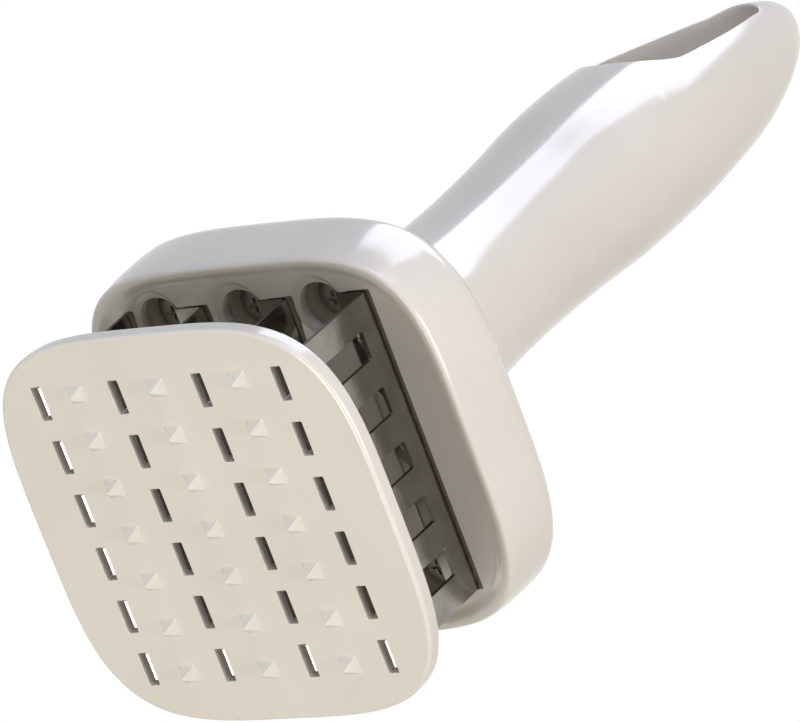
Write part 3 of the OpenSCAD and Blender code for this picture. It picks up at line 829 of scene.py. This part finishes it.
# Steel, headed cold and nickel plated in a barrel: a warm, rather bright grey, with soft cloudy
# reflections where the plating is tumbled dull over about a millimetre.
nickel, nickel_tree = empty_material("nickel_plated_steel")
nickel_place = add_node(nickel_tree, "ShaderNodeTexCoord")
nickel_cloud = add_node(nickel_tree, "ShaderNodeTexNoise", {"Vector": nickel_place.outputs["Object"]},
    Scale=900.0, Detail=3.0)
nickel_tint = add_node(nickel_tree, "ShaderNodeValToRGB", {"Fac": nickel_cloud.outputs["Fac"]})
for stop, place, colour in zip(nickel_tint.color_ramp.elements, (0.35, 0.65), ("#9C9890", "#B4B0A8")):
    stop.position, stop.color = place, linear(colour)
nickel_rough = add_node(nickel_tree, "ShaderNodeMapRange", {"Value": nickel_cloud.outputs["Fac"]},
    To_Min=0.18, To_Max=0.34)
nickel_shader = add_node(nickel_tree, "ShaderNodeBsdfPrincipled",
    {"Base Color": nickel_tint.outputs["Color"], "Roughness": nickel_rough.outputs[0]}, Metallic=1.0)
add_node(nickel_tree, "ShaderNodeOutputMaterial", {"Surface": nickel_shader.outputs[0]})

rivet_points, rivet_faces = [], []
turned(rivet_points, rivet_faces, rivet_profile, rivet_places, sides=32)
rivets = mesh_object("domed_rivets", rivet_points, rivet_faces, 60.0)
finish_with(rivets, nickel)
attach(rivets, "housing")
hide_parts("strip_rivets")
for name in ("rivet_washers", "post_washer_front", "post_washer_rear"):
    finish_with(cad_nodes[name], nickel)

# ---------------------------------------------------------------- Cover screws
# Six flanged pan-head screws with a cross recess, in dull zinc-plated steel, driven up through the
# wells into the head's bosses. They are cold headed, so their edges are soft.

# Radius and height up the screw: the pan head, its flange, and the shank
screw_profile = [
    (0, 29.2), (0.9, 29.22), (1.8, 29.32), (2.5, 29.52), (2.95, 29.85), (3.1, 30.15), (3.3, 30.3),
    (3.62, 30.36), (3.7, 30.46), (3.7, 30.92), (3.62, 31.0), (1.5, 31.0), (1.5, 36.9), (1.1, 37.5),
    (0, 37.5)]

# The cross recess: half length, half width and corner radius of each slot at its mouth and at its floor
recess_mouth = (1.5, 0.32, 0.15)
recess_floor = (1.1, 0.26, 0.1)
recess_low, recess_high = 29.0, 29.7

# Steel, zinc plated and passivated dull: a mid grey with wide, weak reflections, faintly clouded
zinc_steel, zinc_tree = empty_material("dull_zinc_screw_steel")
zinc_place = add_node(zinc_tree, "ShaderNodeTexCoord")
zinc_cloud = add_node(zinc_tree, "ShaderNodeTexNoise", {"Vector": zinc_place.outputs["Object"]},
    Scale=1200.0, Detail=3.0)
zinc_tint = add_node(zinc_tree, "ShaderNodeValToRGB", {"Fac": zinc_cloud.outputs["Fac"]})
for stop, place, colour in zip(zinc_tint.color_ramp.elements, (0.35, 0.65), ("#8E8A83", "#9C988F")):
    stop.position, stop.color = place, linear(colour)
zinc_rough = add_node(zinc_tree, "ShaderNodeMapRange", {"Value": zinc_cloud.outputs["Fac"]},
    To_Min=0.5, To_Max=0.68)
zinc_shader = add_node(zinc_tree, "ShaderNodeBsdfPrincipled",
    {"Base Color": zinc_tint.outputs["Color"], "Roughness": zinc_rough.outputs[0]}, Metallic=1.0)
add_node(zinc_tree, "ShaderNodeOutputMaterial", {"Surface": zinc_shader.outputs[0]})

screw_points, screw_faces = [], []
turned(screw_points, screw_faces, screw_profile, screw_places, sides=40)
screws = mesh_object("pan_head_screws", screw_points, screw_faces, 50.0)
for along_x in (True, False):
    recess_points, recess_faces = [], []
    for place in screw_places:
        loops = []
        for (length, width, corner), z in ((recess_mouth, recess_low), (recess_floor, recess_high)):
            half_x, half_y = (length, width) if along_x else (width, length)
            loops.append(rounded_rectangle(place, half_x, half_y, corner, z, 2))
        add_stack(recess_points, recess_faces, loops)
    cut(screws, recess_points, recess_faces)
even_normals(screws)
finish_with(screws, zinc_steel)
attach(screws, "housing")
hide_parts("cover_screws")
for name in ("post_screw_front", "post_screw_rear"):
    finish_with(cad_nodes[name], zinc_steel)

# ---------------------------------------------------------------- Bushes and stop rings
# Inside the head, a white acetal bush in each cup guides a post, and a soft grey silicone ring
# above it takes the knock when the springs push the guard plate back out.

# Acetal, injection moulded: a cool, waxy white that is a little duller than the ivory
acetal, acetal_tree = empty_material("moulded_white_acetal")
acetal_place = add_node(acetal_tree, "ShaderNodeTexCoord")
acetal_cloud = add_node(acetal_tree, "ShaderNodeTexNoise", {"Vector": acetal_place.outputs["Object"]},
    Scale=700.0, Detail=2.0)
acetal_tint = add_node(acetal_tree, "ShaderNodeValToRGB", {"Fac": acetal_cloud.outputs["Fac"]})
acetal_tint.color_ramp.elements[0].color = linear("#E9E7E1")
acetal_tint.color_ramp.elements[1].color = linear("#F3F1EC")
acetal_shader = add_node(acetal_tree, "ShaderNodeBsdfPrincipled",
    {"Base Color": acetal_tint.outputs["Color"]}, Roughness=0.35, IOR=1.48)
add_node(acetal_tree, "ShaderNodeOutputMaterial", {"Surface": acetal_shader.outputs[0]})

# Silicone rubber, moulded: a matt mid grey with fine dust in its skin, so it shows no clear reflection
silicone, silicone_tree = empty_material("moulded_grey_silicone")
silicone_place = add_node(silicone_tree, "ShaderNodeTexCoord")
silicone_dust = add_node(silicone_tree, "ShaderNodeTexNoise",
    {"Vector": silicone_place.outputs["Object"]}, Scale=1500.0, Detail=3.0)
silicone_tint = add_node(silicone_tree, "ShaderNodeValToRGB", {"Fac": silicone_dust.outputs["Fac"]})
silicone_tint.color_ramp.elements[0].color = linear("#55585C")
silicone_tint.color_ramp.elements[1].color = linear("#686B70")
silicone_shader = add_node(silicone_tree, "ShaderNodeBsdfPrincipled",
    {"Base Color": silicone_tint.outputs["Color"]}, Roughness=0.65, IOR=1.42)
add_node(silicone_tree, "ShaderNodeOutputMaterial", {"Surface": silicone_shader.outputs[0]})
for end in ("front", "rear"):
    for name, finish in (("guide_bush_" + end, acetal), ("stop_ring_" + end, silicone)):
        finish_with(cad_nodes[name], finish)

# ---------------------------------------------------------------- Springs
# Two compression springs of hard-drawn wire, wound a little closer at both ends. Each stands round its
# guide post, from the guard plate to the end wall of its cup. It shortens as the plate rises, but here
# it is drawn only at its rest length, fixed to the head.

wire_d = 0.7
coil_r = 3.4
coil_turns = 11
spring_low = 4.6
spring_high = 34.0
end_crowding = 0.06
steps_a_turn = 28
wire_sides = 12

# Spring steel, drawn to wire: bright grey, with die marks that show as a slightly uneven gloss
drawn_wire, wire_tree = empty_material("drawn_spring_wire")
wire_place = add_node(wire_tree, "ShaderNodeTexCoord")
wire_marks = add_node(wire_tree, "ShaderNodeTexNoise", {"Vector": wire_place.outputs["Object"]},
    Scale=1800.0, Detail=3.0)
wire_tint = add_node(wire_tree, "ShaderNodeValToRGB", {"Fac": wire_marks.outputs["Fac"]})
for stop, place, colour in zip(wire_tint.color_ramp.elements, (0.35, 0.65), ("#8A8782", "#A6A39D")):
    stop.position, stop.color = place, linear(colour)
wire_rough = add_node(wire_tree, "ShaderNodeMapRange", {"Value": wire_marks.outputs["Fac"]},
    To_Min=0.2, To_Max=0.36)
wire_shader = add_node(wire_tree, "ShaderNodeBsdfPrincipled",
    {"Base Color": wire_tint.outputs["Color"], "Roughness": wire_rough.outputs[0]}, Metallic=1.0)
add_node(wire_tree, "ShaderNodeOutputMaterial", {"Surface": wire_shader.outputs[0]})

for end, (spring_x, spring_y) in zip(("front", "rear"), post_places):
    line = [Vector((coil_r, 0, spring_low))]
    for i in range(coil_turns * steps_a_turn + 1):
        share = i / (coil_turns * steps_a_turn)
        turn = 2 * math.pi * coil_turns * share
        climb = share - end_crowding * math.sin(2 * math.pi * share)
        z = spring_low + wire_d + (spring_high - spring_low - 2 * wire_d) * climb
        line.append(Vector((coil_r * math.cos(turn), coil_r * math.sin(turn), z)))
    line.append(Vector((coil_r, 0, spring_high)))
    wire_loops = []
    for i, point in enumerate(line):
        if 0 < i < len(line) - 1:
            way = ((line[i + 1] - point).normalized() + (point - line[i - 1]).normalized()).normalized()
        else:
            way = Vector((0, 0, 1))
        out = Vector((point.x, point.y, 0)).normalized()
        across = way.cross(out).normalized()
        away = across.cross(way)
        loop = []
        for k in range(wire_sides):
            t = 2 * math.pi * k / wire_sides
            place = point + wire_d / 2 * (math.cos(t) * away + math.sin(t) * across)
            loop.append((place.x + spring_x, place.y + spring_y, place.z))
        wire_loops.append(loop)
    spring_points, spring_faces = [], []
    add_stack(spring_points, spring_faces, wire_loops)
    spring = mesh_object("coil_spring_" + end, spring_points, spring_faces, 60.0)
    finish_with(spring, drawn_wire)
    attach(spring, "housing")
    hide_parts("spring_" + end)
    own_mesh(spring)

# ---------------------------------------------------------------- Guide posts
# Two ground steel rods, pressed into the guard plate's bosses and drilled at the top for the stop
# screw. They slide in the bushes as the plate rises.

# Steel rod, centreless ground: bright, with marks round it that draw its reflections out along it.
# They are 0.15 mm apart, coarser than real ones, to show.
post_steel, post_tree = empty_material("ground_steel_rod")
post_coords = add_node(post_tree, "ShaderNodeTexCoord")
post_stretch = add_node(post_tree, "ShaderNodeMapping", {"Vector": post_coords.outputs["Object"]},
    Scale=(200.0, 200.0, 7000.0))
post_marks = add_node(post_tree, "ShaderNodeTexNoise", {"Vector": post_stretch.outputs["Vector"]},
    Scale=1.0, Detail=2.0)
post_tint = add_node(post_tree, "ShaderNodeValToRGB", {"Fac": post_marks.outputs["Fac"]})
for stop, place, colour in zip(post_tint.color_ramp.elements, (0.3, 0.7), ("#A3A19C", "#B9B7B2")):
    stop.position, stop.color = place, linear(colour)
post_rough = add_node(post_tree, "ShaderNodeMapRange", {"Value": post_marks.outputs["Fac"]},
    To_Min=0.14, To_Max=0.26)
post_shader = add_node(post_tree, "ShaderNodeBsdfPrincipled",
    {"Base Color": post_tint.outputs["Color"], "Roughness": post_rough.outputs[0]}, Metallic=1.0)
add_node(post_tree, "ShaderNodeOutputMaterial", {"Surface": post_shader.outputs[0]})
for name in ("guide_post_front", "guide_post_rear"):
    finish_with(cad_nodes[name], post_steel)

# ---------------------------------------------------------------- Guard plate
# The sprung plate that hides the teeth: one ivory ABS moulding with a slot for each tooth, three
# rows of small pyramid studs that grip the meat, and a boss above for each guide post.

plate_z = 1.8
plate_top = 4.6
plate_half = (33.05, 32.25)
plate_square = 3.8
plate_round = 0.65
plate_sides = 192
slot_half = (0.95, 2.75)
slot_lip = 0.12
slot_corner = 0.22
stud_rows = 7
stud_pitch = 7.867
stud_corner = 0.14
boss_r = 2.69
boss_top = plate_top + 2.4
socket_r = 2.0

# Height and half width of a stud, from its rounded tip to its foot inside the plate
stud_profile = [(0.0, 0.05), (0.02, 0.13), (0.1, 0.22), (0.25, 0.33), (1.0, 0.86), (1.62, 1.3),
    (1.73, 1.4), (1.79, 1.56), (1.9, 1.6)]

# Radius and height round a post's boss, from inside its socket over the chamfered end
boss_wall = [(socket_r, plate_top - 1), (socket_r, boss_top - 0.3), (2.2, boss_top),
    (boss_r - 0.25, boss_top), (boss_r, boss_top - 0.25), (boss_r, plate_top - 1)]

plate_points, plate_faces = [], []
edge = round_over(plate_round, 6)
plate_levels = [(inset, plate_z + depth) for depth, inset in edge]
plate_levels += [(inset, plate_top - depth) for depth, inset in reversed(edge)]
plate_loops = [rounded_square(plate_half, plate_square, inset, z, plate_sides)
    for inset, z in plate_levels]
add_stack(plate_points, plate_faces, plate_loops)
plate = mesh_object("moulded_guard_plate", plate_points, plate_faces)
slot_points, slot_faces = [], []
lip_arc = round_over(slot_lip, 3)
slot_levels = [(slot_lip, plate_z - 1)]
slot_levels += [(inset, plate_z + depth) for depth, inset in lip_arc]
slot_levels += [(inset, plate_top - depth) for depth, inset in reversed(lip_arc)]
slot_levels.append((slot_lip, plate_top + 1))
for x in strip_x:
    for i in range(teeth):
        middle = (x, (i - (teeth - 1) / 2) * tooth_pitch)
        add_stack(slot_points, slot_faces, [
            rounded_rectangle(middle, slot_half[0] + grow, slot_half[1] + grow, slot_corner + grow, z)
            for grow, z in slot_levels])
cut(plate, slot_points, slot_faces)

stud_points, stud_faces = [], []
stud_x = [(a + b) / 2 for a, b in zip(strip_x, strip_x[1:])]
for x in stud_x:
    for j in range(stud_rows):
        y = (j - (stud_rows - 1) / 2) * stud_pitch
        add_stack(stud_points, stud_faces, [
            rounded_rectangle((x, y), half, half, half * stud_corner, z, 2) for z, half in stud_profile])
join_shape(plate, stud_points, stud_faces)
boss_points, boss_faces = [], []
turned(boss_points, boss_faces, boss_wall, post_places, closed=True)
join_shape(plate, boss_points, boss_faces)
even_normals(plate, 50.0)
finish_with(plate, ivory)
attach(plate, "guard")
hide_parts("guard_plate")
